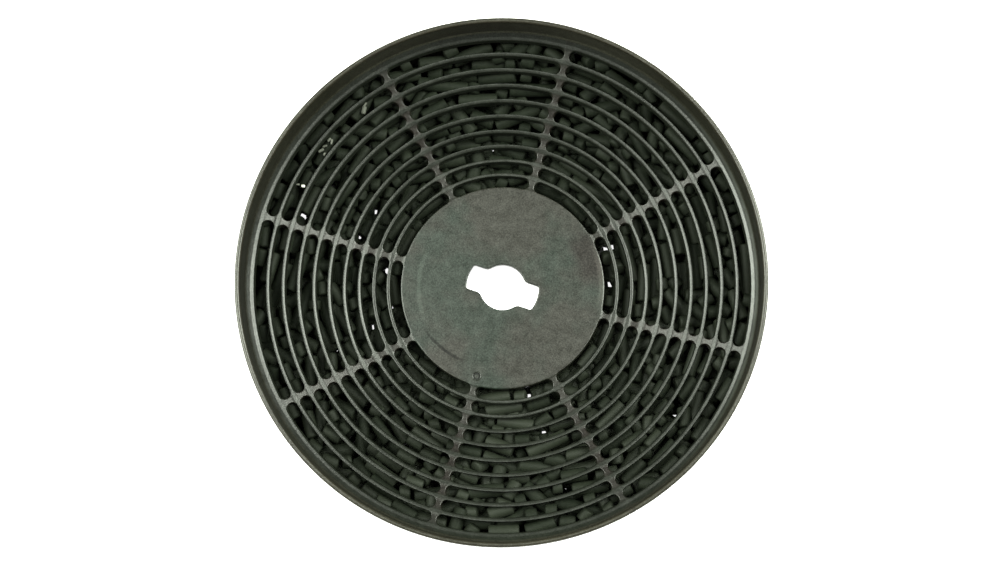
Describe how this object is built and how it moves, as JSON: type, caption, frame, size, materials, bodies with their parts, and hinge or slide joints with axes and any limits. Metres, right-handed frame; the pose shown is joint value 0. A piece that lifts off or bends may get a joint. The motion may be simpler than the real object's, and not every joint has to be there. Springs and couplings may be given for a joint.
{
  "type": "cooker hood carbon filter",
  "caption": "Round moulded filter with a dished grille of ring slots, a bayonet hole in its hub, and loose carbon pellets held behind the grille by a flat back cover.",
  "frame": {"origin": "centre of the back cover's outer face, on the filter's axis", "axes": "+Z along the filter's axis, out of the dished front face; +X to the right and +Y to the top of the picture"},
  "size_m": [0.15, 0.15, 0.0339],
  "materials": {
    "housing_plastic": "matte moulded",
    "cover_plastic": "matte moulded",
    "carbon": "dull extruded"
  },
  "bodies": {
    "root": {"front_housing": "housing_plastic", "back_cover": "cover_plastic", "carbon_pellets_1": "carbon", "carbon_pellets_2": "carbon", "carbon_pellets_3": "carbon", "carbon_pellets_4": "carbon", "carbon_pellets_5": "carbon", "carbon_pellets_6": "carbon", "carbon_pellets_7": "carbon", "carbon_pellets_8": "carbon"}
  },
  "joints": []
}
